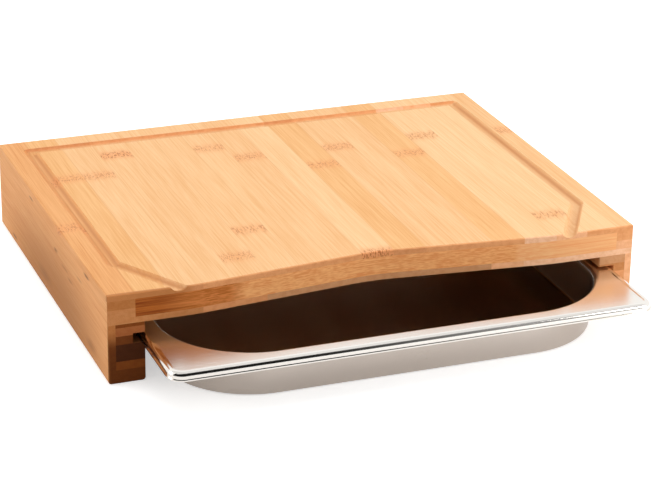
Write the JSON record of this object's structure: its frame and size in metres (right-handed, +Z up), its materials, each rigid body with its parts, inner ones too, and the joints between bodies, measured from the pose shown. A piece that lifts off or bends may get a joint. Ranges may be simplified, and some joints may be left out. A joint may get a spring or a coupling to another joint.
{
  "type": "cutting board",
  "caption": "Laminated bamboo cutting board on two side legs, with a front hand recess, a juice groove and a steel tray sliding in slots underneath.",
  "frame": {"origin": "on the table, at the centre of the object's outline with the tray drawn out 63 mm", "axes": "+X to the right seen from the front, +Y to the back (the tray comes out towards -Y), +Z up"},
  "size_m": [0.36, 0.343, 0.06],
  "materials": {
    "top_bamboo": "satin",
    "underside_bamboo": "satin",
    "core_bamboo": "satin",
    "leg_bamboo": "satin",
    "tray_steel": "satin"
  },
  "bodies": {
    "board": {"bottom_lamella_01": "underside_bamboo", "bottom_lamella_02": "underside_bamboo", "bottom_lamella_03": "underside_bamboo", "bottom_lamella_04": "underside_bamboo", "bottom_lamella_05": "underside_bamboo", "bottom_lamella_06": "underside_bamboo", "bottom_lamella_07": "underside_bamboo", "bottom_lamella_08": "underside_bamboo", "bottom_lamella_09": "underside_bamboo", "bottom_lamella_10": "underside_bamboo", "bottom_lamella_11": "underside_bamboo", "bottom_lamella_12": "underside_bamboo", "bottom_lamella_13": "underside_bamboo", "bottom_lamella_14": "underside_bamboo", "bottom_lamella_15": "underside_bamboo", "bottom_lamella_16": "underside_bamboo", "bottom_lamella_17": "underside_bamboo", "core_lower_left_edge": "core_bamboo", "core_lower_right_edge": "core_bamboo", "core_lower_sheet": "core_bamboo", "core_upper_left_edge": "core_bamboo", "core_upper_right_edge": "core_bamboo", "core_upper_sheet": "core_bamboo", "left_leg_layer_1": "leg_bamboo", "left_leg_layer_2": "leg_bamboo", "left_leg_layer_3": "leg_bamboo", "left_leg_layer_4": "leg_bamboo", "left_leg_layer_5": "leg_bamboo", "left_leg_layer_6": "leg_bamboo", "left_leg_layer_7": "leg_bamboo", "left_leg_layer_8": "leg_bamboo", "left_leg_outer_strip": "leg_bamboo", "right_leg_layer_1": "leg_bamboo", "right_leg_layer_2": "leg_bamboo", "right_leg_layer_3": "leg_bamboo", "right_leg_layer_4": "leg_bamboo", "right_leg_layer_5": "leg_bamboo", "right_leg_layer_6": "leg_bamboo", "right_leg_layer_7": "leg_bamboo", "right_leg_outer_strip": "leg_bamboo", "top_lamella_01": "top_bamboo", "top_lamella_02": "top_bamboo", "top_lamella_03": "top_bamboo", "top_lamella_04": "top_bamboo", "top_lamella_05": "top_bamboo", "top_lamella_06": "top_bamboo", "top_lamella_07": "top_bamboo", "top_lamella_08": "top_bamboo", "top_lamella_09": "top_bamboo", "top_lamella_10": "top_bamboo", "top_lamella_11": "top_bamboo", "top_lamella_12": "top_bamboo", "top_lamella_13": "top_bamboo", "top_lamella_14": "top_bamboo", "top_lamella_15": "top_bamboo", "top_lamella_16": "top_bamboo", "top_lamella_17": "top_bamboo"},
    "tray": {"drip_tray": "tray_steel"}
  },
  "joints": [
    {"name": "tray_slide", "type": "slide", "parent": "board", "child": "tray", "axis": [0, -1, 0], "range_m": [-0.063, 0.207]}
  ]
}
